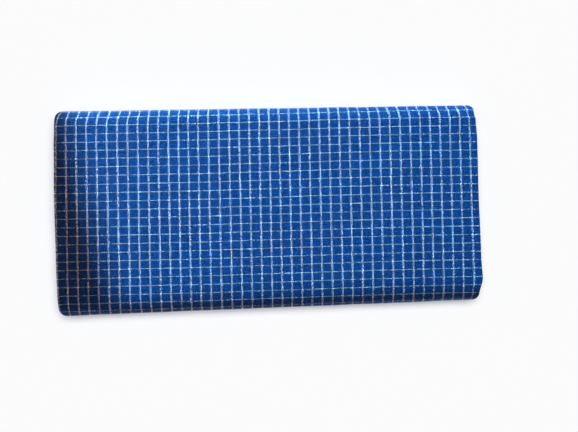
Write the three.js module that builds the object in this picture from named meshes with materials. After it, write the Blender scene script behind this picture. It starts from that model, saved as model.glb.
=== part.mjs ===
// A lungi folded flat: one length of checked cotton, folded in four across its width and then
// turned over and over on itself into a flat pack that lies on a table.
//
// Units are millimetres and +Z is up. X runs along the pack, Y goes from the near long edge to the
// far one, and the origin is under the middle of the pack.
//
// The strip of four plies starts at its free end, flat on the table under the far long edge. It
// runs under the pack to the near edge, rolls up and over the top, comes down the far edge, and
// passes inside itself there, one strip deeper at each turn. A place on it is given by
//   turn   how many turns lie outside it, from 0 at the skin to turnCount at the middle,
//   around how far round the pack it is, from 0 at the free end to 1 back above it.

import * as THREE from 'three';

// Driving sizes
const packLength = 317;
const packDepth = 150;
const turnCount = 7;
const stripThickness = 1.0;
const seamGap = 0.3;
const middleGap = 0.2;
const farReach = 12;
const nearReach = 19;

// How far the long edges lean in from the left end to the right end
const farTaper = 1.9;
const nearTaper = 3.9;

// Sizes that follow from these
const pitch = stripThickness + seamGap;
const halfHeight = turnCount * pitch + middleGap;
const halfDepth = packDepth / 2;

// The four stretches of one turn: how many steps each has, in order from the free end
const stretches = [
  { name: 'under', steps: 8 },
  { name: 'near roll', steps: 9 },
  { name: 'top', steps: 8 },
  { name: 'far roll', steps: 10 },
];
const stretchShare = 1 / stretches.length;
const passStart = 0.15;

// How full the pack is along its length: what the soft layers add to its height there
const crown = [
  { along: 0.0, lift: 0.0 },
  { along: 0.06, lift: 0.35 },
  { along: 0.2, lift: 0.7 },
  { along: 0.5, lift: 0.85 },
  { along: 0.74, lift: 0.62 },
  { along: 0.825, lift: 0.98 },
  { along: 0.88, lift: 0.5 },
  { along: 0.96, lift: 0.25 },
  { along: 1.0, lift: 0.0 },
];

// Where the strip's two folded edges lie, set back from the ends of the pack. The outer turn
// follows its own rows, one for each place around it.
const outerEdge = [
  { around: 0.0, left: 2.4, right: 2.8 },
  { around: 0.25, left: 2.3, right: 2.7 },
  { around: 0.44, left: 2.0, right: 1.9 },
  { around: 0.49, left: 1.8, right: -0.2 },
  { around: 0.53, left: 1.4, right: 0.6 },
  { around: 0.64, left: 1.0, right: 1.3 },
  { around: 0.72, left: 1.6, right: 1.2 },
  { around: 0.745, left: 2.2, right: 1.9 },
  { around: 0.785, left: 2.4, right: 3.2 },
  { around: 0.81, left: 2.4, right: 2.4 },
  { around: 1.0, left: 2.8, right: 2.9 },
];

// The strip draws in where it is pulled round a roll, so the pack's corners are blunt
const rollCorner = [
  { stretch: 1, left: 3.6, right: 3.2, sharpness: 10 },
  { stretch: 3, left: 4.2, right: 3.8, sharpness: 5 },
];

// The edges of the hidden turns, a row for each half turn that shows in the ends
const innerEdge = [
  { turn: 1.0, left: 2.8, right: 2.6 },
  { turn: 1.5, left: 1.9, right: 3.6 },
  { turn: 2.0, left: 3.3, right: 2.1 },
  { turn: 2.5, left: 2.2, right: 2.9 },
  { turn: 3.0, left: 1.7, right: 4.1 },
  { turn: 3.5, left: 2.9, right: 2.4 },
  { turn: 4.0, left: 3.6, right: 1.9 },
  { turn: 4.5, left: 2.1, right: 3.2 },
  { turn: 5.0, left: 2.6, right: 2.5 },
  { turn: 5.5, left: 3.4, right: 3.8 },
  { turn: 6.0, left: 2.3, right: 2.7 },
  { turn: 6.5, left: 3.0, right: 3.1 },
  { turn: 7.0, left: 3.8, right: 3.5 },
];

// The rounded lip of one strip: how far in each point of it lies, across the strip's thickness
const lip = [
  { across: 0.0, back: 2.2 },
  { across: 0.16, back: 0.45 },
  { across: 0.5, back: 0.0 },
  { across: 0.84, back: 0.45 },
];
const outerLip = [
  { across: 0.0, back: 0.5 },
  { across: 0.2, back: 0.1 },
  { across: 0.5, back: 0.0 },
  { across: 0.8, back: 0.1 },
  { across: 1.0, back: 0.5 },
];

// Sections along the pack, as shares of its length
const sections = [0, 0.02, 0.06, 0.13, 0.2, 0.35, 0.5, 0.62, 0.74, 0.785, 0.825, 0.88, 0.96, 0.98, 1];

function smoothStep(value) {
  const t = THREE.MathUtils.clamp(value, 0, 1);
  return t * t * (3 - 2 * t);
}

// Reads a column of a table between its rows, where key is the column that orders them
function fromTable(table, key, at, column) {
  const above = Math.max(1, table.findIndex((row) => row[key] >= at));
  const low = table[above - 1];
  const high = table[above];
  const share = smoothStep((at - low[key]) / (high[key] - low[key]));
  return THREE.MathUtils.lerp(low[column], high[column], share);
}

// The strip goes one pitch deeper on its way down the far roll. Its last turn runs out there.
function depthOf(turn, around) {
  const down = (around - (1 - stretchShare)) / stretchShare;
  const passed = smoothStep((down - passStart) / (1 - passStart));
  const left = Math.min(1, turnCount - turn);
  return pitch * (turn + passed * left);
}

// A point of the pack's cross-section, at a depth under its skin
function sectionPoint(depth, around, x) {
  const stretch = Math.min(stretches.length - 1, Math.floor(around / stretchShare));
  const share = around / stretchShare - stretch;
  const height = halfHeight - depth;
  const along = x / packLength;
  const far = halfDepth - farReach - farTaper * along;
  const near = -halfDepth + nearReach + nearTaper * along;
  const angle = Math.PI * share;
  let y;
  let z;
  if (stretch === 0) {
    y = THREE.MathUtils.lerp(far, near, share);
    z = halfHeight - height;
  } else if (stretch === 1) {
    y = near - (nearReach * height * Math.sin(angle)) / halfHeight;
    z = halfHeight - height * Math.cos(angle);
  } else if (stretch === 2) {
    y = THREE.MathUtils.lerp(near, far, share);
    z = halfHeight + height;
  } else {
    y = far + (farReach * height * Math.sin(angle)) / halfHeight;
    z = halfHeight + height * Math.cos(angle);
  }
  return { y, z: z * (1 + loft(x, y)) };
}

// The pack is softly crowned: fullest in the middle, pressed down towards its four edges
function loft(x, y) {
  const acrossPack = Math.cos((Math.PI / 2) * THREE.MathUtils.clamp(y / halfDepth, -1, 1));
  const along = THREE.MathUtils.clamp(x / packLength + 0.5, 0, 1);
  return (acrossPack * fromTable(crown, 'along', along, 'lift')) / (2 * halfHeight);
}

// The places around one turn, shared by every ring of the pack
function placesAround(end = 1) {
  const places = [0];
  stretches.forEach((stretch, number) => {
    for (let step = 1; step <= stretch.steps; step++) {
      places.push((number + step / stretch.steps) * stretchShare);
    }
  });
  places[places.length - 1] = end;
  return places;
}

// How far a strip's edge lies in from the end of the pack, at one place around it
function setBack(edges, key, at, around, side) {
  const roll = rollCorner.find((row) => Math.floor(around / stretchShare) === row.stretch);
  const bend = Math.sin((Math.PI * (around % stretchShare)) / stretchShare);
  return fromTable(edges, key, at, side) + (roll ? roll[side] * bend ** roll.sharpness : 0);
}

// X of a ring at one section. The end sections follow the strip's own edges.
function sectionX(section, left, right) {
  if (section === 0) return -packLength / 2 + left;
  if (section === 1) return packLength / 2 - right;
  return packLength * (section - 0.5);
}

// Collects shared points and faces, then makes a closed geometry of them
class Surface {
  constructor(pointAt) {
    this.pointAt = pointAt;
    this.numbers = new Map();
    this.points = [];
    this.faces = [];
  }

  vertex(...place) {
    const key = place.join();
    if (!this.numbers.has(key)) {
      this.numbers.set(key, this.numbers.size);
      this.points.push(...this.pointAt(...place));
    }
    return this.numbers.get(key);
  }

  triangle(a, b, c) {
    if (a !== b && b !== c && c !== a) this.faces.push(a, b, c);
  }

  quad(a, b, c, d) {
    this.triangle(a, b, c);
    this.triangle(a, c, d);
  }

  geometry() {
    const geometry = new THREE.BufferGeometry();
    geometry.setAttribute('position', new THREE.Float32BufferAttribute(this.points, 3));
    geometry.setIndex(this.faces);
    geometry.computeVertexNormals();
    return geometry;
  }
}

// The outer turn: a wall of one strip, from its free end under the pack to where it passes inside
function outerTurnGeometry() {
  const tightRoll = Math.PI * farReach * (1 - (2 * pitch) / halfHeight);
  const places = placesAround(1 - (stretchShare * seamGap) / tightRoll);
  const lastRing = outerLip.length - 1;
  const lastPlace = places.length - 1;
  const lastSection = sections.length - 1;
  const surface = new Surface((ring, place, section) => {
    const around = places[place];
    const left = setBack(outerEdge, 'around', around, around, 'left') + outerLip[ring].back;
    const right = setBack(outerEdge, 'around', around, around, 'right') + outerLip[ring].back;
    const x = sectionX(sections[section], left, right);
    const depth = depthOf(0, around) + stripThickness * outerLip[ring].across;
    const { y, z } = sectionPoint(depth, around, x);
    return [x, y, z];
  });
  const at = (ring, place, section) => surface.vertex(ring, place, section);
  for (let p = 0; p < lastPlace; p++) {
    for (let s = 0; s < lastSection; s++) {
      surface.quad(at(0, p, s), at(0, p, s + 1), at(0, p + 1, s + 1), at(0, p + 1, s));
      surface.quad(
        at(lastRing, p, s), at(lastRing, p + 1, s), at(lastRing, p + 1, s + 1), at(lastRing, p, s + 1),
      );
    }
    for (let r = 0; r < lastRing; r++) {
      surface.quad(at(r, p, 0), at(r, p + 1, 0), at(r + 1, p + 1, 0), at(r + 1, p, 0));
      surface.quad(
        at(r, p, lastSection), at(r + 1, p, lastSection),
        at(r + 1, p + 1, lastSection), at(r, p + 1, lastSection),
      );
    }
  }
  for (let r = 0; r < lastRing; r++) {
    for (let s = 0; s < lastSection; s++) {
      surface.quad(at(r, 0, s), at(r + 1, 0, s), at(r + 1, 0, s + 1), at(r, 0, s + 1));
      surface.quad(
        at(r, lastPlace, s), at(r, lastPlace, s + 1),
        at(r + 1, lastPlace, s + 1), at(r + 1, lastPlace, s),
      );
    }
  }
  return surface.geometry();
}

// The hidden turns: one solid under the outer turn, with each strip's lip showing in its ends.
// Going once round brings a ring to where the ring one turn further in starts.
function innerTurnsGeometry() {
  const places = placesAround();
  const perTurn = lip.length;
  const lastRing = (turnCount - 1) * perTurn;
  const lastPlace = places.length - 1;
  const lastSection = sections.length - 1;
  const surface = new Surface((ring, place, section) => {
    const around = places[place];
    const turn = 1 + Math.floor(ring / perTurn) + lip[ring % perTurn].across;
    const wound = Math.min(turnCount, Math.floor(turn) + around);
    const { back } = lip[ring % perTurn];
    const left = setBack(innerEdge, 'turn', wound, around, 'left') + back;
    const right = setBack(innerEdge, 'turn', wound, around, 'right') + back;
    const x = sectionX(sections[section], left, right);
    const { y, z } = sectionPoint(depthOf(turn, around), around, x);
    return [x, y, z];
  });
  const at = (ring, place, section) => {
    if (place < lastPlace) return surface.vertex(ring, place, section);
    return surface.vertex(Math.min(ring + perTurn, lastRing), 0, section);
  };
  for (let p = 0; p < lastPlace; p++) {
    for (let s = 0; s < lastSection; s++) {
      surface.quad(at(0, p, s), at(0, p, s + 1), at(0, p + 1, s + 1), at(0, p + 1, s));
    }
    for (let r = 0; r < lastRing; r++) {
      surface.quad(at(r, p, 0), at(r, p + 1, 0), at(r + 1, p + 1, 0), at(r + 1, p, 0));
      surface.quad(
        at(r, p, lastSection), at(r + 1, p, lastSection),
        at(r + 1, p + 1, lastSection), at(r, p + 1, lastSection),
      );
    }
  }
  // The face where the first hidden turn leaves the outer one
  for (let r = 0; r < perTurn; r++) {
    for (let s = 0; s < lastSection; s++) {
      surface.quad(at(r, 0, s), at(r + 1, 0, s), at(r + 1, 0, s + 1), at(r, 0, s + 1));
    }
  }
  // The slot in the middle of the pack is closed at both ends
  const slot = places.slice(0, -1).map((_, place) => {
    const [, y, z] = surface.pointAt(lastRing, place, 0);
    return new THREE.Vector2(y, z);
  });
  for (const [a, b, c] of THREE.ShapeUtils.triangulateShape(slot, [])) {
    const turned = (slot[b].x - slot[a].x) * (slot[c].y - slot[a].y)
      - (slot[b].y - slot[a].y) * (slot[c].x - slot[a].x);
    const [i, j, k] = turned > 0 ? [a, b, c] : [a, c, b];
    const rim = (place, section) => at(lastRing, place, section);
    surface.triangle(rim(i, lastSection), rim(j, lastSection), rim(k, lastSection));
    surface.triangle(rim(i, 0), rim(k, 0), rim(j, 0));
  }
  return surface.geometry();
}

const cotton = { color: 0x2f5ba0, roughness: 0.9, metalness: 0 };

function clothMesh(name, geometry) {
  const mesh = new THREE.Mesh(geometry, new THREE.MeshStandardMaterial(cotton));
  mesh.name = name;
  return mesh;
}

const pack = new THREE.Group();
pack.add(clothMesh('outer_turn', outerTurnGeometry()));
pack.add(clothMesh('inner_turns', innerTurnsGeometry()));

// The origin is under the middle of the pack's footprint
const footprint = new THREE.Box3().setFromObject(pack);
const middle = footprint.getCenter(new THREE.Vector3());
pack.position.set(-middle.x, -middle.y, -footprint.min.z);
pack.updateMatrixWorld(true);

export default pack;
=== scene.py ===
# %% [markdown]
# # A lungi folded into a flat pack
# A lungi is one length of checked cotton, worn wrapped round the waist. In a drawer it lies as a
# flat pack: the cloth is folded in four across its width, and that strip of four layers is turned
# over and over on itself. The pack has been modelled once already as plain solids, and this lesson
# loads those as a fixed frame and dresses them in cloth that has folds, a weave and a check.

# %% Load the frame
import math

import bpy
import numpy as np
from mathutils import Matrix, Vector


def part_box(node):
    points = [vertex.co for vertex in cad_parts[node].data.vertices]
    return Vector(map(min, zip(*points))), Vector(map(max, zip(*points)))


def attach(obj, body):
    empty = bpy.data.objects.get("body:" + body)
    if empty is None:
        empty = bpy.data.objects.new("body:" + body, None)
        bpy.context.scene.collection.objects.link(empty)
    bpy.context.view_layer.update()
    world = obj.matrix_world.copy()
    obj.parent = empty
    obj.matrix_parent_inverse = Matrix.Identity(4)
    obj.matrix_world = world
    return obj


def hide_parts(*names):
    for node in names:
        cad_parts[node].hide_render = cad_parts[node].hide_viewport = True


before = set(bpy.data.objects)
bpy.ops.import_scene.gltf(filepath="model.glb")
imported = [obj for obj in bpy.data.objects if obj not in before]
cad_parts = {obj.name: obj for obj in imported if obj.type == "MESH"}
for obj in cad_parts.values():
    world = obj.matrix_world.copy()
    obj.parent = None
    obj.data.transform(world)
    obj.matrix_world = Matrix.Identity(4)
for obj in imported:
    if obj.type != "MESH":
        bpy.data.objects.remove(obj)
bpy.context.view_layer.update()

# %% [markdown]
# ## The sizes of the pack
# Everything is worked out in millimetres, since that is how a cloth is measured, and turned into
# metres at the very end. The strip is described by how many turns of cloth lie outside it, and by
# how far round the pack it has come: 0 is its free end under the far edge, a quarter is the near
# edge, and from there it goes up, over the top and down the far edge.

# %% Sizes in millimetres
MM = 0.001

pack_length = 317.0
pack_depth = 150.0
turn_count = 7
turn_pitch = 1.3
middle_gap = 0.2
far_reach = 12.0
near_reach = 19.0
far_taper = 1.9
near_taper = 3.9
pass_start = 0.15

half_height = turn_count * turn_pitch + middle_gap
half_depth = pack_depth / 2
ply_count = 4
ply = 0.29
strip = ply_count * ply

crown = [
    dict(along=0.0, lift=0.0),
    dict(along=0.06, lift=0.35),
    dict(along=0.2, lift=0.7),
    dict(along=0.5, lift=0.85),
    dict(along=0.74, lift=0.62),
    dict(along=0.825, lift=0.98),
    dict(along=0.88, lift=0.5),
    dict(along=0.96, lift=0.25),
    dict(along=1.0, lift=0.0),
]
outer_edge = [
    dict(around=0.0, left=2.4, right=2.8),
    dict(around=0.25, left=2.3, right=2.7),
    dict(around=0.44, left=2.0, right=1.9),
    dict(around=0.49, left=1.8, right=-0.2),
    dict(around=0.53, left=1.4, right=0.6),
    dict(around=0.64, left=1.0, right=1.3),
    dict(around=0.72, left=1.6, right=1.2),
    dict(around=0.745, left=2.2, right=1.9),
    dict(around=0.785, left=2.4, right=3.2),
    dict(around=0.81, left=2.4, right=2.4),
    dict(around=1.0, left=2.8, right=2.9),
]
inner_edge = [
    dict(turn=1.0, left=2.8, right=2.6),
    dict(turn=1.5, left=1.9, right=3.6),
    dict(turn=2.0, left=3.3, right=2.1),
    dict(turn=2.5, left=2.2, right=2.9),
    dict(turn=3.0, left=1.7, right=4.1),
    dict(turn=3.5, left=2.9, right=2.4),
    dict(turn=4.0, left=3.6, right=1.9),
    dict(turn=4.5, left=2.1, right=3.2),
    dict(turn=5.0, left=2.6, right=2.5),
    dict(turn=5.5, left=3.4, right=3.8),
    dict(turn=6.0, left=2.3, right=2.7),
    dict(turn=6.5, left=3.0, right=3.1),
    dict(turn=7.0, left=3.8, right=3.5),
]
roll_corner = {
    1: dict(left=3.6, right=3.2, sharpness=10),
    3: dict(left=4.2, right=3.8, sharpness=5),
}
print("strip of four plies:", strip, "mm; pack half height:", half_height, "mm")

# %% [markdown]
# ## Where the strip runs
# Four stretches make one turn: under the pack, the near roll, the top and the far roll. The rolls
# are half ellipses. On its way down the far roll the strip slips one turn deeper, which is what
# makes the spiral that shows in the ends of the pack.

# %% The strip's path as functions
def smooth_step(value):
    t = np.clip(value, 0.0, 1.0)
    return t * t * (3 - 2 * t)


def from_table(table, key, at, column):
    keys = np.array([row[key] for row in table])
    values = np.array([row[column] for row in table])
    above = np.clip(np.searchsorted(keys, at), 1, len(keys) - 1)
    share = smooth_step((at - keys[above - 1]) / (keys[above] - keys[above - 1]))
    return values[above - 1] + (values[above] - values[above - 1]) * share


def depth_of(turn, around):
    passed = smooth_step(((around - 0.75) / 0.25 - pass_start) / (1 - pass_start))
    return turn_pitch * (turn + passed * np.clip(turn_count - turn, 0, 1))


def loft(x, y):
    across = np.cos(np.pi / 2 * np.clip(y / half_depth, -1, 1))
    along = np.clip(x / pack_length + 0.5, 0, 1)
    return across * from_table(crown, "along", along, "lift") / (2 * half_height)


def section_point(depth, around, x):
    stretch = np.minimum(3, np.floor(around / 0.25))
    share = around / 0.25 - stretch
    height = half_height - depth
    far = half_depth - far_reach - far_taper * x / pack_length
    near = -half_depth + near_reach + near_taper * x / pack_length
    bend = height * np.sin(np.pi * share) / half_height
    turned = height * np.cos(np.pi * share)
    which = [stretch == number for number in range(4)]
    y = np.select(which, [far + (near - far) * share, near - near_reach * bend,
                          near + (far - near) * share, far + far_reach * bend])
    z = half_height + np.select(which, [-height, -turned, height, turned])
    return y, z * (1 + loft(x, y))


def set_back(table, key, at, around, side):
    stretch = np.floor(np.minimum(around, 0.9999) / 0.25)
    bend = np.sin(np.pi * (around / 0.25 - stretch))
    drawn_in = sum((stretch == number) * row[side] * bend ** row["sharpness"]
                   for number, row in roll_corner.items())
    return from_table(table, key, at, side) + drawn_in


def around_steps(flat_steps, roll_steps):
    steps = [np.linspace(0, 0.25, count, endpoint=False) + number * 0.25
             for number, count in enumerate((flat_steps, roll_steps, flat_steps, roll_steps))]
    return np.append(np.concatenate(steps), 1.0)


def edge_lines(table, key, at, around):
    left = -pack_length / 2 + set_back(table, key, at, around, "left")
    right = pack_length / 2 - set_back(table, key, at, around, "right")
    return left, right


# In the frame the origin is under the middle of the pack's box, so everything shifts to it
once_round = np.linspace(0, 1, 401)
raw_y = section_point(depth_of(0, once_round), once_round, -0.45 * pack_length)[0]
raw_left, raw_right = edge_lines(outer_edge, "around", once_round, once_round)
box_low, box_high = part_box("outer_turn")
shift_x = (box_low[0] + box_high[0]) / 2 / MM - (raw_left.min() + raw_right.max()) / 2
shift_y = (box_low[1] + box_high[1]) / 2 / MM - (raw_y.min() + raw_y.max()) / 2
print("shift of the pack in mm:", round(shift_x, 2), round(shift_y, 2))

# %% [markdown]
# ## The camera
# The photo looks almost straight down on the pack.

# %% Camera
scene = bpy.context.scene
top_of_pack = 19.2
camera_x, camera_y, camera_above = -10.4, -15.2, 740.0
camera_turn = (0.70, -1.96, -1.46)
camera_data = bpy.data.cameras.new("camera")
camera_data.sensor_width = 36.0
camera_data.lens = 62.28
camera = bpy.data.objects.new("camera", camera_data)
camera.location = ((shift_x + camera_x) * MM, (shift_y + camera_y) * MM,
                   (camera_above + top_of_pack) * MM)
camera.rotation_euler = tuple(math.radians(angle) for angle in camera_turn)
scene.collection.objects.link(camera)
scene.camera = camera
scene.view_settings.view_transform = "Standard"
print("camera at, in metres:", [round(number, 3) for number in camera.location])

# %% [markdown]
# ## Floor and light
# A plain white floor stands for the ground of the photo. The cloth has two lights. A cool one comes
# low from the far side, so the far roll is bright, the flat top is half lit and the near roll is in
# shade. Its beam ends just short of the pack's left end, which is dark in the photo. A warm one
# above the left end fills the places that the first doesn't reach. The floor has a sun of its own,
# which lights it evenly out to the horizon. Light linking tells Blender which light reaches which
# object, so a light that is right for the floor doesn't burn out the cloth.

# %% Floor
def plain_material(name, colour, roughness):
    material = bpy.data.materials.new(name)
    material.use_nodes = True
    shader = material.node_tree.nodes["Principled BSDF"]
    shader.inputs["Base Color"].default_value = (*colour, 1.0)
    shader.inputs["Roughness"].default_value = roughness
    shader.inputs["Specular IOR Level"].default_value = 0.1
    return material


floor_reach = 9.0
floor_corners = [(x * floor_reach, y * floor_reach, 0)
                 for x, y in ((-1, -1), (1, -1), (1, 1), (-1, 1))]
floor_mesh = bpy.data.meshes.new("floor")
floor_mesh.from_pydata(floor_corners, [], [(0, 1, 2, 3)])
floor = bpy.data.objects.new("floor", floor_mesh)
floor_mesh.materials.append(plain_material("pale floor", (0.88, 0.88, 0.88), 0.9))
scene.collection.objects.link(floor)
print("floor reaches", floor_reach, "m each way")


# %% Lights
def lamp(name, kind, place, target, power, colour, lit):
    """Adds a light that points from its place to a target and reaches only the lit collection."""
    data = bpy.data.lights.new(name, kind)
    data.energy = power
    data.color = colour
    light = bpy.data.objects.new(name, data)
    light.location = place
    away = np.array(place) - np.array(target)
    lean = math.atan2(math.hypot(away[0], away[1]), away[2])
    light.rotation_euler = (lean, 0.0, math.atan2(away[0], -away[1]))
    light.light_linking.receiver_collection = lit
    scene.collection.objects.link(light)
    return light


cloth_group = bpy.data.collections.new("cloth")
floor_group = bpy.data.collections.new("ground")
floor_group.objects.link(floor)

key_light = lamp("key light", "SPOT", place=(-0.566, 1.4, 0.90), target=(0.385, 0.0, 0.0),
                 power=220.0, colour=(0.37, 0.84, 0.92), lit=cloth_group)
beam_half_angle = 15.08
key_light.data.spot_size = math.radians(2 * beam_half_angle)
key_light.data.spot_blend = 0.013
key_light.data.shadow_soft_size = 0.015
fill_light = lamp("fill light", "AREA", place=(-0.27, 0.2, 0.6), target=(-0.1, 0.0, 0.0),
                  power=1.35, colour=(1.0, 0.5, 0.32), lit=cloth_group)
fill_light.data.shape = "DISK"
fill_light.data.size = 0.2
floor_light = lamp("floor light", "SUN", place=(0.1, 0.4, 2.2), target=(0.0, 0.0, 0.0),
                   power=3.32, colour=(1.0, 1.0, 1.0), lit=floor_group)
floor_light.data.angle = math.radians(50)

# The room looks as pale as the floor, but sends only a little light to the cloth
world = bpy.data.worlds.new("studio")
world.use_nodes = True
sky = world.node_tree.nodes["Background"]
sky.inputs["Color"].default_value = (1.0, 1.0, 1.0, 1.0)
seen = world.node_tree.nodes.new("ShaderNodeLightPath")
light_sent, light_seen = 0.065, 0.967
strength = world.node_tree.nodes.new("ShaderNodeMix")
strength.inputs["A"].default_value = light_sent
strength.inputs["B"].default_value = light_seen
world.node_tree.links.new(seen.outputs["Is Camera Ray"], strength.inputs["Factor"])
world.node_tree.links.new(strength.outputs["Result"], sky.inputs["Strength"])
scene.world = world
print("lights:", [light.name for light in (key_light, fill_light, floor_light)])

# %% [markdown]
# ## How the cloth lies
# Folded cotton is never quite flat: layers below print through, the weave pulls here and there,
# and the rolls carry shallow waves. These swells are placed where the photo shows them,
# each one a soft ridge (a positive lift) or a soft trough, no more than half a millimetre high.

# %% Swells of the top and the rolls
swells = [
    dict(x=102, y=0, length=90, width=8, turn=88, lift=0.22),
    dict(x=122, y=-10, length=80, width=14, turn=90, lift=-0.16),
    dict(x=-121, y=32, length=26, width=12, turn=20, lift=-0.22),
    dict(x=-36, y=5, length=34, width=13, turn=-12, lift=-0.2),
    dict(x=43, y=34, length=30, width=12, turn=8, lift=-0.2),
    dict(x=-73, y=-49, length=22, width=9, turn=60, lift=-0.3),
    dict(x=-95, y=-8, length=40, width=16, turn=10, lift=0.18),
    dict(x=5, y=40, length=45, width=11, turn=-6, lift=0.16),
    dict(x=66, y=-20, length=42, width=15, turn=24, lift=0.15),
    dict(x=-10, y=-38, length=50, width=12, turn=4, lift=0.17),
    dict(x=30, y=-52, length=36, width=8, turn=-14, lift=-0.15),
    dict(x=130, y=48, length=24, width=10, turn=-30, lift=-0.3),
    dict(x=-140, y=-30, length=30, width=8, turn=80, lift=0.15),
]
waves = [
    dict(long=61.0, turn=17, start=0.4, lift=0.055),
    dict(long=43.0, turn=101, start=2.1, lift=0.05),
    dict(long=29.0, turn=-24, start=4.0, lift=0.03),
    dict(long=18.0, turn=64, start=1.2, lift=0.018),
    dict(long=12.5, turn=118, start=5.2, lift=0.010),
]


def relief(x, run):
    """Height of the swells in mm at a place on the cloth: x along the pack, run across it."""
    height = np.zeros(np.broadcast(x, run).shape)
    for row in swells:
        angle = math.radians(row["turn"])
        dx, dy = x - row["x"], run - row["y"]
        along = (dx * math.cos(angle) + dy * math.sin(angle)) / row["length"]
        beside = (dy * math.cos(angle) - dx * math.sin(angle)) / row["width"]
        height += row["lift"] * np.exp(-along ** 2 - beside ** 2)
    for row in waves:
        angle = math.radians(row["turn"])
        along = x * math.cos(angle) + run * math.sin(angle)
        height += row["lift"] * np.sin(2 * math.pi * along / row["long"] + row["start"])
    return height


print("swells:", len(swells), "waves:", len(waves))

# %% [markdown]
# ## The edges of a strip
# Each turn is four layers thick, and its two sides differ. On the left all four layers turn round
# one fold, so the edge is a single rounded lip. On the right the two outer layers share a fold, and
# the two inner ones end in selvedges, the woven edges of the cloth. A short table gives that
# profile: how deep in the strip each point lies, and how far it is set back.

# %% Profiles of the folded edges
fold_radius = strip / 2


def round_lip(across, centre, radius):
    inside = np.clip(1 - ((across * strip - centre) / radius) ** 2, 0, 1)
    return radius * (1 - np.sqrt(inside))


ply_rows = [0.0, 0.05, 0.13, 0.2]
rows_across = np.array([(number + 4 * row) / ply_count for number in range(ply_count)
                        for row in ply_rows] + [1.0])
left_back = round_lip(rows_across, strip / 2, fold_radius)
right_plies = [
    dict(start=0.0, end=0.5, back=0.0),
    dict(start=0.5, end=0.75, back=0.9),
    dict(start=0.75, end=1.0, back=0.35),
]
groove = 1.1
same_place = 1e-6
right_back = np.zeros(len(rows_across))
for row in right_plies:
    half = (row["end"] - row["start"]) * strip / 2
    inside = rows_across >= row["start"] - same_place
    inside &= rows_across <= row["end"] + same_place
    middle = (row["start"] + row["end"]) / 2 * strip
    lip = row["back"] + round_lip(rows_across, middle, half)
    right_back = np.where(inside, np.maximum(right_back, lip), right_back)
for start in (0.5, 0.75):
    right_back[np.abs(rows_across - start) < same_place] += groove
end_step = 0.5
end_plies = np.array([0.2, 1.1, 1.9, 0.7])
end_back = np.append(np.repeat(end_plies, len(ply_rows)), end_plies[-1])
end_back += round_lip((rows_across * ply_count) % 1.0 / ply_count, ply / 2, ply / 2)
end_back[::len(ply_rows)] += end_step
print("rows across one strip:", len(rows_across))

# %% [markdown]
# ## A strip as a closed mesh
# The strip is a long thin box bent round the pack. Its points are numbered on a grid of places
# round the pack, sections along the pack and rows through its thickness, and only the skin of that
# grid is kept.

# %% Build a strip
def skin_faces(rows, places, sections):
    """The faces of a bent box, as grids of (row, place, section) with the way each one faces."""
    last = (rows - 1, places - 1, sections - 1)
    sides = []
    for axis, (first, second) in enumerate(((1, 2), (0, 2), (0, 1))):
        for end in (0, last[axis]):
            grid = np.meshgrid(*(range((rows, places, sections)[n]) for n in (first, second)),
                               indexing="ij")
            index = [None, None, None]
            index[axis] = np.full_like(grid[0], end)
            index[first], index[second] = grid
            outwards = (end == 0) == (axis != 1)
            sides.append((axis, end, np.stack(index, -1), outwards))
    return sides


def wind_strip(name, places, position, cloth_at):
    """Makes a closed strip mesh from functions that give a point, and its place on the cloth."""
    row_count, section_count = len(rows_across), len(sections)
    ids = np.full((row_count, len(places), section_count), -1)
    points, faces, cloth = [], [], []
    for axis, end, index, outwards in skin_faces(row_count, len(places), section_count):
        flat = index.reshape(-1, 3)
        new = flat[ids[tuple(flat.T)] < 0]
        ids[tuple(new.T)] = np.arange(len(new)) + len(points)
        points.extend(position(*new.T))
        number = ids[tuple(flat.T)].reshape(index.shape[:2])
        place = cloth_at(axis, end, *flat.T).reshape(*index.shape[:2], 2)
        for grid, out in ((number, faces), (place, cloth)):
            corner = [grid[:-1, :-1], grid[:-1, 1:], grid[1:, 1:], grid[1:, :-1]]
            corner = np.stack(corner if outwards else corner[::-1], 2)
            out.append(corner.reshape(-1, 4, *grid.shape[2:]))
    mesh = bpy.data.meshes.new(name)
    mesh.from_pydata((np.array(points) * MM).tolist(), [], np.concatenate(faces).tolist())
    layer = mesh.uv_layers.new(name="cloth")
    layer.data.foreach_set("uv", np.concatenate(cloth).reshape(-1).astype(np.float32))
    mesh.shade_smooth()
    piece = bpy.data.objects.new(name, mesh)
    scene.collection.objects.link(piece)
    return piece


def report_piece(piece):
    triangles = sum(len(face.vertices) - 2 for face in piece.data.polygons)
    low = np.min([v.co[:] for v in piece.data.vertices], axis=0) / MM
    high = np.max([v.co[:] for v in piece.data.vertices], axis=0) / MM
    print(piece.name, triangles, "triangles, box in mm", low.round(2), high.round(2))


# %% [markdown]
# ## The outer turn
# This is all that shows from above. It gets the finest grid, a point every two millimetres or so,
# and its outer face carries the swells. Underneath it lies flat on the table.

# %% Where the outer turn's cloth lies
quarter_width = 314.5
cloth_left = -157.1
cloth_right = cloth_left + quarter_width
edge_reach = 6.0
first_column_in = 1.3
first_row_y = 70.5


def along_strip(left, right, share):
    """The set-back of an edge is taken up by the cloth close to it, so the middle stays straight."""
    from_left, from_right = quarter_width * share, quarter_width * (1 - share)
    pull_left = (left - cloth_left) * np.exp(-(from_left / edge_reach) ** 2)
    pull_right = (right - cloth_right) * np.exp(-(from_right / edge_reach) ** 2)
    return cloth_left + from_left + pull_left + pull_right


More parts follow.
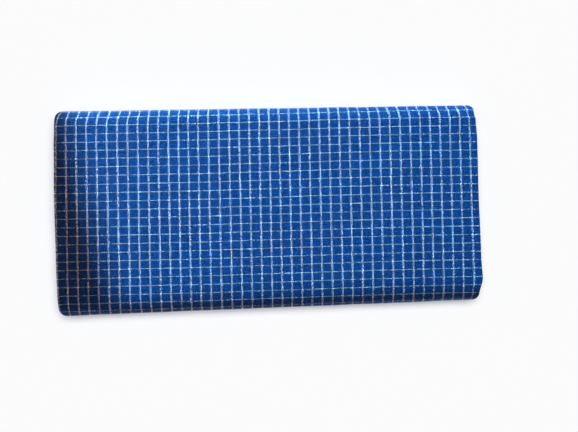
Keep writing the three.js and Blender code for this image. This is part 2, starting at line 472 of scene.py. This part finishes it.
def skin_run(x, at):
    """How far each place on the skin is from the line y = 0 on top, along the skin, in mm."""
    fine = np.linspace(0, 1, 2001)
    y, z = section_point(depth_of(0, fine)[:, None], fine[:, None], x[None, :])
    steps = np.hypot(np.diff(y, axis=0), np.diff(z, axis=0))
    length = np.vstack([np.zeros(len(x)), np.cumsum(steps, axis=0)])
    on_top = (fine >= 0.5) & (fine <= 0.75)
    run = [np.interp(at, fine, column - np.interp(0.0, side[on_top], column[on_top]))
           for side, column in zip(y.T, length.T)]
    return np.array(run).T


def strip_path(turn, around, x, thickness_at):
    """A point of a strip: on its outer skin, moved inwards by its depth in the strip."""
    nudge = 0.0008
    ahead = np.minimum(around + nudge, 1.0)
    behind = np.maximum(around - nudge, 0.0)
    y, z = section_point(depth_of(turn, around), around, x)
    y_ahead, z_ahead = section_point(depth_of(turn, ahead), ahead, x)
    y_behind, z_behind = section_point(depth_of(turn, behind), behind, x)
    run_y, run_z = y_ahead - y_behind, z_ahead - z_behind
    length = np.hypot(run_y, run_z)
    return y + thickness_at * run_z / length, z - thickness_at * run_y / length


# %% Outer turn
sections = np.concatenate(([0, 0.0028, 0.0065], np.linspace(0.012, 0.988, 127), [0.9935, 0.9972, 1]))
places = np.append(around_steps(56, 26)[:-1], 0.9975)
free_end = 0.25 / (pack_depth - far_reach - near_reach)
run_at = skin_run(cloth_left + quarter_width * sections, places)
mid_section = len(sections) // 2
inner_share = 0.3


def outer_point(row, place, section):
    around = places[place]
    across = rows_across[row]
    around = around + np.where(place == 0, end_back[row] * free_end, 0)
    left, right = edge_lines(outer_edge, "around", around, around)
    x = along_strip(left, right, sections[section])
    x = np.where(section == 0, left + left_back[row], x)
    x = np.where(section == len(sections) - 1, right - right_back[row], x)
    lying = np.where(around < 0.25, 0.0, smooth_step((around - 0.25) / 0.08))
    lying = lying * (1 - 0.8 * smooth_step((around - 0.9) / 0.1))
    rise = relief(x, run_at[place, section]) * lying * np.where(row == 0, 1.0, inner_share)
    y, z = strip_path(0, around, x, across * strip - rise)
    return np.stack([x + shift_x, y + shift_y, z], -1)


# %% [markdown]
# ## Cloth is never quite square
# The check wanders a little from even rows and columns, because cloth is pulled as it is folded.
# The wander was measured on the photo at a few lines, and each short table below gives it in mm.

# %% Place on the cloth
row_wander = [
    dict(x=-160, up=-0.1), dict(x=-115, up=-0.15), dict(x=-55, up=-0.38), dict(x=0, up=-0.12),
    dict(x=70, up=0.32), dict(x=105, up=0.36), dict(x=140, up=0.1), dict(x=160, up=-0.1),
]
column_wander = [
    dict(x=-160, out=-0.2), dict(x=-130, out=0.0), dict(x=-95, out=0.42), dict(x=-70, out=0.4),
    dict(x=-48, out=-0.1), dict(x=-25, out=0.33), dict(x=-5, out=0.15), dict(x=25, out=-0.25),
    dict(x=60, out=-0.2), dict(x=80, out=0.0), dict(x=115, out=0.25), dict(x=160, out=0.1),
]
far_roll_wander = [
    dict(x=-160, out=1.9), dict(x=-110, out=1.7), dict(x=-85, out=1.0), dict(x=-60, out=0.4),
    dict(x=-20, out=-0.1), dict(x=40, out=-0.3), dict(x=90, out=-1.5), dict(x=160, out=-1.8),
]
roll_wander = [
    dict(run=-75, up=0.2), dict(run=-50, up=0.0), dict(run=0, up=-0.08), dict(run=38, up=0.15),
    dict(run=50, up=-0.12), dict(run=60, up=-0.45), dict(run=75, up=-0.8),
]
lean_left = 0.0085
lean_right = 0.0010
lean_starts, lean_grows = 64, 11


def wander(x, run):
    """How far the check lies from an even one, across and along the strip, in mm."""
    lean = np.interp(x, (cloth_left, cloth_right), (lean_left, lean_right))
    reach = np.clip(run, -half_depth, half_depth)
    beside = np.clip(x, column_wander[0]["x"], column_wander[-1]["x"])
    on_far_roll = smooth_step((run - lean_starts) / lean_grows)
    out = from_table(column_wander, "x", beside, "out") + lean * reach
    out = out + from_table(far_roll_wander, "x", beside, "out") * on_far_roll
    up = from_table(row_wander, "x", beside, "up") + from_table(roll_wander, "run", reach, "up")
    return out, up


def outer_cloth(axis, end, row, place, section):
    run = run_at[place, section]
    width = quarter_width * sections[section]
    out, up = wander(cloth_left + width, run)
    lip_arc = fold_radius * np.pi / 2 * (1 - 2 * rows_across[row])
    if axis == 0:
        width = width - out if end == 0 else 2 * quarter_width - width
    elif axis == 1:
        run = run + rows_across[row] * strip
    else:
        width = lip_arc - out if end == 0 else quarter_width + rows_across[row] * strip - out
    return np.stack(np.broadcast_arrays(width - first_column_in, run - up), -1)


outer = wind_strip("outer_cloth", places, outer_point, outer_cloth)
report_piece(outer)

# %% [markdown]
# ## Shader maths as plain Python
# The weave is worked out from the place on the cloth, yarn by yarn, which takes many Math nodes.
# This small class wraps a socket, so that an expression such as 1 - mask adds its own nodes.

# %% A socket that can be calculated with
class Signal:
    def __init__(self, tree, socket):
        self.tree, self.socket = tree, socket

    def node(self, kind, settings=None, values=None, output=0):
        made = self.tree.nodes.new(kind)
        for key, value in (settings or {}).items():
            setattr(made, key, value)
        for key, value in (values or {}).items():
            if isinstance(value, Signal):
                self.tree.links.new(value.socket, made.inputs[key])
            else:
                made.inputs[key].default_value = value
        return Signal(self.tree, made.outputs[output])

    def maths(self, operation, *others):
        values = {0: self, **{number + 1: other for number, other in enumerate(others)}}
        return self.node("ShaderNodeMath", {"operation": operation}, values)

    def flipped(self, operation, other):
        return self.node("ShaderNodeMath", {"operation": operation}, {0: other, 1: self})

    def __add__(self, other):
        return self.maths("ADD", other)

    def __sub__(self, other):
        return self.maths("SUBTRACT", other)

    def __mul__(self, other):
        return self.maths("MULTIPLY", other)

    def __truediv__(self, other):
        return self.maths("DIVIDE", other)

    def __lt__(self, other):
        return self.maths("LESS_THAN", other)

    def __rsub__(self, other):
        return self.flipped("SUBTRACT", other)

    __radd__, __rmul__ = __add__, __mul__

    def floor(self):
        return self.maths("FLOOR")

    def part(self):
        return self.maths("FRACT")

    def wrapped(self, count):
        return self - (self / count).floor() * count

    def size(self):
        return self.maths("ABSOLUTE")

    def clamped(self):
        return self.maths("MAXIMUM", 0.0).maths("MINIMUM", 1.0)

    def parts(self):
        """The three numbers of a vector."""
        split = self.node("ShaderNodeSeparateXYZ", values={0: self})
        return [Signal(self.tree, split.socket.node.outputs[number]) for number in range(3)]

    def mix(self, low, high, kind="RGBA"):
        """Goes from low to high as this signal goes from 0 to 1."""
        first, second = {"RGBA": (6, 7), "FLOAT": (2, 3)}[kind]
        return self.node("ShaderNodeMix", {"data_type": kind}, {0: self, first: low, second: high},
                         output={"RGBA": 2, "FLOAT": 0}[kind])


# %% [markdown]
# ## A yarn-dyed check
# Most yarns are blue, and every so often four white ones run along the cloth, round and round the
# pack, and two white ones run across it. Where a white yarn passes under a blue one it can't be
# seen, so the lines are broken up, and the thin ones look dotted. The material asks at each spot
# which yarn lies on top and gives that yarn's colour.

# %% The sizes of the weave in millimetres
check_wide = 7.5
check_high = 6.29
ends_in_check = 22
picks_in_check = 20
white_ends = 4
white_picks = 2
end_pitch = check_wide / ends_in_check
pick_pitch = check_high / picks_in_check
blue_yarn = (0.0018, 0.056, 0.288, 1.0)
white_yarn = (0.58, 0.67, 0.99, 1.0)
white_weft = (0.50, 0.76, 1.0, 1.0)
print("yarn pitch in mm:", round(end_pitch, 3), "by", round(pick_pitch, 3))

# %% [markdown]
# ## No two yarns alike
# Cotton yarn is unevenly dyed and spun, and that is what keeps the blue alive. The numbers below
# say by how many mm a yarn strays from its row, how much its shade changes along it and from patch
# to patch, how strongly it is thick and thin by turns, how much painted shade darkens the blue
# beside the white lines, and how much painted shade darkens the cloth between yarns, whose crowns
# get a little painted light.

# %% The unevenness of the yarns
slow_stray_u, slow_stray_v = 0.3, 0.4
quick_stray_u, quick_stray_v = 0.25, 0.24
yarn_shade, patch_shade, least_shade = 0.8, 0.7, 0.25
grain_strength, grain_darkest = 7.5, 0.22
slub_strength = 1.5
slub_length = 4
# Painted shade: how much the colour of the blue beside the white lines is darkened
painted_shade_beside_white = 0.28
# Painted shade between the yarns, and slightly lighter painted crowns
painted_light_on_crowns, painted_shade_in_gaps = 1.08, 0.9
print("slubs are", slub_length, "crossings long")


# %% Cotton cloth
def check_cloth(name, first_pick):
    """Plain weave in two colours. first_pick is the place of a white pick along the cloth, in mm."""
    material = bpy.data.materials.new(name)
    material.use_nodes = True
    tree = material.node_tree
    shader = tree.nodes["Principled BSDF"]
    start = Signal(tree, None)
    place = start.node("ShaderNodeUVMap", {"uv_map": "cloth"})
    u, v, _ = place.parts()

    # Yarns wander a little from their straight rows
    slow = place.node("ShaderNodeTexNoise", {"noise_dimensions": "2D"},
                      {"Vector": place, "Scale": 0.035, "Detail": 2.0, "Roughness": 0.6}, output=1)
    drift = slow.node("ShaderNodeSeparateColor", values={0: slow})
    drift_u, drift_v = drift, Signal(tree, drift.socket.node.outputs[1])
    quick = place.node("ShaderNodeTexNoise", {"noise_dimensions": "2D"},
                       {"Vector": place, "Scale": 0.8, "Detail": 1.0, "Roughness": 0.5})
    u = u + (drift_u - 0.5) * slow_stray_u + (quick - 0.5) * quick_stray_u
    v = v + (drift_v - 0.5) * slow_stray_v + (quick - 0.5) * quick_stray_v

    # The count starts far off the cloth, so that no yarn has a number below zero
    checks_before = 1000
    end = u / end_pitch + (white_ends / 2 + checks_before * ends_in_check)
    pick = (v - first_pick) / pick_pitch + (white_picks / 2 + checks_before * picks_in_check)
    end_number, pick_number = end.floor(), pick.floor()
    beside_end, beside_pick = (end.part() - 0.5).size(), (pick.part() - 0.5).size()

    checker = (end_number + pick_number).wrapped(2)
    weft_shows = checker * (beside_end < 0.49) * (beside_pick < 0.47)
    end_white = end_number.wrapped(ends_in_check) < white_ends
    pick_white = pick_number.wrapped(picks_in_check) < white_picks
    is_white = weft_shows.mix(end_white, pick_white, "FLOAT")
    colour = is_white.mix(blue_yarn, weft_shows.mix(white_yarn, white_weft))

    # The yarns are unevenly dyed and spun: each has its own shade, which changes slowly along it
    along_end = start.node("ShaderNodeCombineXYZ", values={0: end_number * 7.31, 1: v * 0.02})
    end_shade = along_end.node("ShaderNodeTexNoise", {"noise_dimensions": "2D"},
                               {"Vector": along_end, "Scale": 1.0, "Detail": 0.0})
    along_pick = start.node("ShaderNodeCombineXYZ", values={0: u * 0.02, 1: pick_number * 5.17})
    pick_shade = along_pick.node("ShaderNodeTexNoise", {"noise_dimensions": "2D"},
                                 {"Vector": along_pick, "Scale": 1.0, "Detail": 0.0})
    mottle = place.node("ShaderNodeTexNoise", {"noise_dimensions": "2D"},
                        {"Vector": place, "Scale": 0.35, "Detail": 2.0, "Roughness": 0.6})
    grain = place.node("ShaderNodeTexNoise", {"noise_dimensions": "2D"},
                       {"Vector": place, "Scale": 1.4, "Detail": 1.0, "Roughness": 0.7})
    shade = weft_shows.mix(end_shade, pick_shade, "FLOAT") * yarn_shade
    shade = shade + mottle * patch_shade + least_shade
    shade = shade * ((grain - 0.5) * grain_strength + 1).maths("MAXIMUM", grain_darkest)

    # Cotton is spun unevenly, so each yarn is thick and thin by turns
    def slub(column, row):
        spot = start.node("ShaderNodeCombineXYZ", values={0: column, 1: row})
        return spot.node("ShaderNodeTexWhiteNoise", {"noise_dimensions": "2D"}, {"Vector": spot})

    slub_end = slub(end_number, (pick * (1 / slub_length) + end_number * 0.37).floor())
    slub_pick = slub((end * (1 / slub_length) + pick_number * 0.37).floor(), pick_number + 0.5)
    shade = shade * ((weft_shows.mix(slub_end, slub_pick, "FLOAT") - 0.5) * slub_strength + 1)

    # Painted shade: the colour of the blue yarns beside two or more white ones is darkened, as if
    # they lay in the shadow of a low ridge
    beside_white = ((end_number + 1).wrapped(ends_in_check) < white_ends + 2) - end_white
    beside_row = ((pick_number + 1).wrapped(picks_in_check) < white_picks + 2) - pick_white
    beside = beside_white.maths("MAXIMUM", beside_row) * (1 - is_white)
    shade = shade * (1 - beside * painted_shade_beside_white)
    # Painted shade: the colour darkens towards the gaps between yarns and is a little lighter on
    # their crowns
    gap = (beside_end * beside_end + beside_pick * beside_pick) * painted_shade_in_gaps
    shade = shade * (painted_light_on_crowns - gap)
    grey = start.node("ShaderNodeCombineColor", values={0: shade, 1: shade, 2: shade})
    tinted = colour.node("ShaderNodeMix", {"data_type": "RGBA", "blend_type": "MULTIPLY"},
                         {0: 1.0, 6: colour, 7: grey}, output=2)
    tree.links.new(tinted.socket, shader.inputs["Base Color"])

    # Each yarn that lies on top is a small crown
    crown_height = weft_shows.mix(1.0 - beside_end * beside_end * 4,
                                  1.0 - beside_pick * beside_pick * 4, "FLOAT")
    bump = start.node("ShaderNodeBump", values={"Strength": 0.5, "Distance": 0.00008,
                                               "Height": crown_height})
    tree.links.new(bump.socket, shader.inputs["Normal"])
    shader.inputs["Roughness"].default_value = 0.6
    shader.inputs["Specular IOR Level"].default_value = 0.13
    shader.inputs["Sheen Weight"].default_value = 0.2
    shader.inputs["Sheen Tint"].default_value = (0.42, 0.62, 1.0, 1.0)
    shader.inputs["Sheen Roughness"].default_value = 0.5
    return material


cloth_material = check_cloth("blue checked cotton", first_row_y)
outer.data.materials.append(cloth_material)

# %% [markdown]
# ## The hidden turns
# Inside the outer turn the same strip goes round six times more, one strip deeper at each turn.
# From above nothing of it shows, but at both ends of the pack its folded edges lie in rows. A strip
# that is wound on follows a rule, so Geometry Nodes make it: a profile, which is the strip cut
# across, is carried along a spiral path. Each point of the path says how far the two edges are
# drawn in there, and the tree adds the lean of the long edges, the crown and a little unevenness.

# %% Path and profile of the hidden turns
short_of_middle = 0.26
steps_once = around_steps(18, 22)[:-1]
inner_turn = np.repeat(np.arange(1, turn_count), len(steps_once))
inner_around = np.tile(steps_once, turn_count - 1)
wound = inner_turn + inner_around
kept = wound < turn_count - short_of_middle
inner_turn, inner_around, wound = inner_turn[kept], inner_around[kept], wound[kept]
path_y, path_z = strip_path(inner_turn, inner_around, 0.0, strip / 2)
path_run = np.append(0, np.cumsum(np.hypot(np.diff(path_y), np.diff(path_z))))
inner_left, inner_right = edge_lines(inner_edge, "turn", wound, inner_around)
print("hidden strip:", round(float(path_run[-1])), "mm long")


def line_object(name, points, closed, columns):
    """A chain of points as an object, with a named column of numbers for each thing it carries."""
    mesh = bpy.data.meshes.new(name)
    count = len(points)
    edges = [(number, (number + 1) % count) for number in range(count if closed else count - 1)]
    mesh.from_pydata([tuple(point) for point in points], edges, [])
    for key, values in columns.items():
        mesh.attributes.new(key, "FLOAT", "POINT").data.foreach_set("value", values)
    made = bpy.data.objects.new(name, mesh)
    scene.collection.objects.link(made)
    return made


path = line_object("path of the hidden strip",
                   np.stack([path_y, path_z, np.zeros(len(path_y))], -1), False,
                   {"run": path_run - run_at[0, mid_section], "draw_left": inner_left - cloth_left,
                    "draw_right": inner_right - cloth_right})

face_shares = np.concatenate(([0.004, 0.012, 0.03], np.linspace(0.06, 0.94, 14),
                              [0.97, 0.988, 0.996]))
face_x = cloth_left + quarter_width * face_shares
right_lip = cloth_right - right_back
left_lip = cloth_left + left_back
profile_x = np.concatenate((face_x, right_lip, face_x[::-1], left_lip[::-1]))
across_face = np.zeros(len(face_x))
profile_across = np.concatenate((across_face, rows_across, across_face + 1, rows_across[::-1]))
profile_width = np.concatenate((face_x - cloth_left, quarter_width + rows_across * strip,
                                quarter_width * 2 + strip - (face_x[::-1] - cloth_left),
                                -rows_across[::-1] * strip))
profile_lift = from_table(crown, "along", np.clip(profile_x / pack_length + 0.5, 0, 1), "lift")
profile = line_object("strip cut across",
                      np.stack([(profile_across - 0.5) * strip, profile_x, 0 * profile_x], -1), True,
                      {"width": profile_width - first_column_in, "lift": profile_lift})
print("points in the path:", len(path_y), "and in the profile:", len(profile_x))


# %% The tree that winds the strip
def winding_tree():
    tree = bpy.data.node_groups.new("wound strip", "GeometryNodeTree")
    kinds = {"Path": "Geometry", "Profile": "Object", "Near line": "Float", "Far line": "Float",
             "Near lean": "Float", "Far lean": "Float", "Unevenness": "Float", "Seed": "Float",
             "Shift": "Vector", "Cloth": "Material"}
    for name, kind in kinds.items():
        tree.interface.new_socket(name, in_out="INPUT", socket_type="NodeSocket" + kind)
    tree.interface.new_socket("Strip", in_out="OUTPUT", socket_type="NodeSocketGeometry")
    group_input = tree.nodes.new("NodeGroupInput")
    given = {name: Signal(tree, group_input.outputs[name]) for name in kinds}
    start = given["Path"]

    def carried(name):
        return start.node("GeometryNodeInputNamedAttribute", {"data_type": "FLOAT"}, {"Name": name})

    line = start.node("GeometryNodeMeshToCurve", values={"Mesh": start})
    line = line.node("GeometryNodeSetCurveNormal", {"mode": "Z_UP"}, {"Curve": line})
    shape = start.node("GeometryNodeObjectInfo", values={"Object": given["Profile"]},
                       output="Geometry")
    shape = shape.node("GeometryNodeMeshToCurve", values={"Mesh": shape})
    body = line.node("GeometryNodeCurveToMesh",
                     values={"Curve": line, "Profile Curve": shape, "Fill Caps": True})

    # The path lies flat in this tree: its first axis is the pack's Y and its second the pack's Z,
    # and the profile's width runs down the third
    y, z, down = start.node("GeometryNodeInputPosition").parts()
    x = down * -1.0
    along = x / pack_length
    nearness = ((given["Far line"] - y) / (given["Far line"] - given["Near line"])).clamped()
    y = y + along * (given["Near lean"] * nearness - given["Far lean"] * (1 - nearness))
    across = ((y / half_depth) * (math.pi / 2)).maths("COSINE")
    z = z * (across * carried("lift") / (2 * half_height) + 1)

    # The edges are drawn in as the path says, and each ply wanders a little from its neighbours
    def close_to(edge):
        away = (x - edge) / edge_reach
        return (away * away * -1.0).maths("EXPONENT")

    spot = start.node("ShaderNodeCombineXYZ", values={0: carried("run") * 0.045, 1: y * 0.3 + z,
                                                      2: given["Seed"]})
    noise = spot.node("ShaderNodeTexNoise", values={"Vector": spot, "Scale": 1.0, "Detail": 2.0})
    uneven = (noise - 0.5) * given["Unevenness"]
    left, right = close_to(cloth_left), close_to(cloth_right)
    x = x + (carried("draw_left") + uneven) * left + (carried("draw_right") + uneven) * right
    moved = start.node("ShaderNodeCombineXYZ", values={0: x, 1: y, 2: z})
    moved = moved.node("ShaderNodeVectorMath", {"operation": "ADD"}, {0: moved, 1: given["Shift"]})
    moved = moved.node("ShaderNodeVectorMath", {"operation": "SCALE"}, {0: moved, "Scale": MM})
    body = body.node("GeometryNodeSetPosition", values={"Geometry": body, "Position": moved})

    cloth = start.node("ShaderNodeCombineXYZ", values={0: carried("width"), 1: carried("run")})
    body = body.node("GeometryNodeStoreNamedAttribute", {"data_type": "FLOAT2", "domain": "CORNER"},
                     {"Geometry": body, "Name": "cloth", "Value": cloth})
    body = body.node("GeometryNodeSetShadeSmooth", values={0: body, "Shade Smooth": True})
    body = body.node("GeometryNodeRealizeInstances", values={0: body})
    body = body.node("GeometryNodeSetMaterial", values={0: body, "Material": given["Cloth"]})
    tree.links.new(body.socket, tree.nodes.new("NodeGroupOutput").inputs["Strip"])
    return tree


# %% Wind the hidden turns
tree = winding_tree()
winding = path.modifiers.new("winding", "NODES")
winding.node_group = tree
settings = {"Profile": profile, "Cloth": cloth_material, "Shift": (shift_x, shift_y, 0.0),
            "Near line": -half_depth + near_reach, "Far line": half_depth - far_reach,
            "Near lean": near_taper, "Far lean": far_taper, "Unevenness": 0.9, "Seed": 4.0}
for item in tree.interface.items_tree:
    if item.in_out == "INPUT" and item.name in settings:
        winding[item.identifier] = settings[item.name]
graph = bpy.context.evaluated_depsgraph_get()
inner_mesh = bpy.data.meshes.new_from_object(path.evaluated_get(graph))
inner = bpy.data.objects.new("inner_cloth", inner_mesh)
scene.collection.objects.link(inner)
for helper in (path, profile):
    bpy.data.objects.remove(helper)
report_piece(inner)

# %% Hand over to the frame
for piece, node in ((outer, "outer_turn"), (inner, "inner_turns")):
    cloth_group.objects.link(piece)
    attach(piece, "root")
    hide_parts(node)
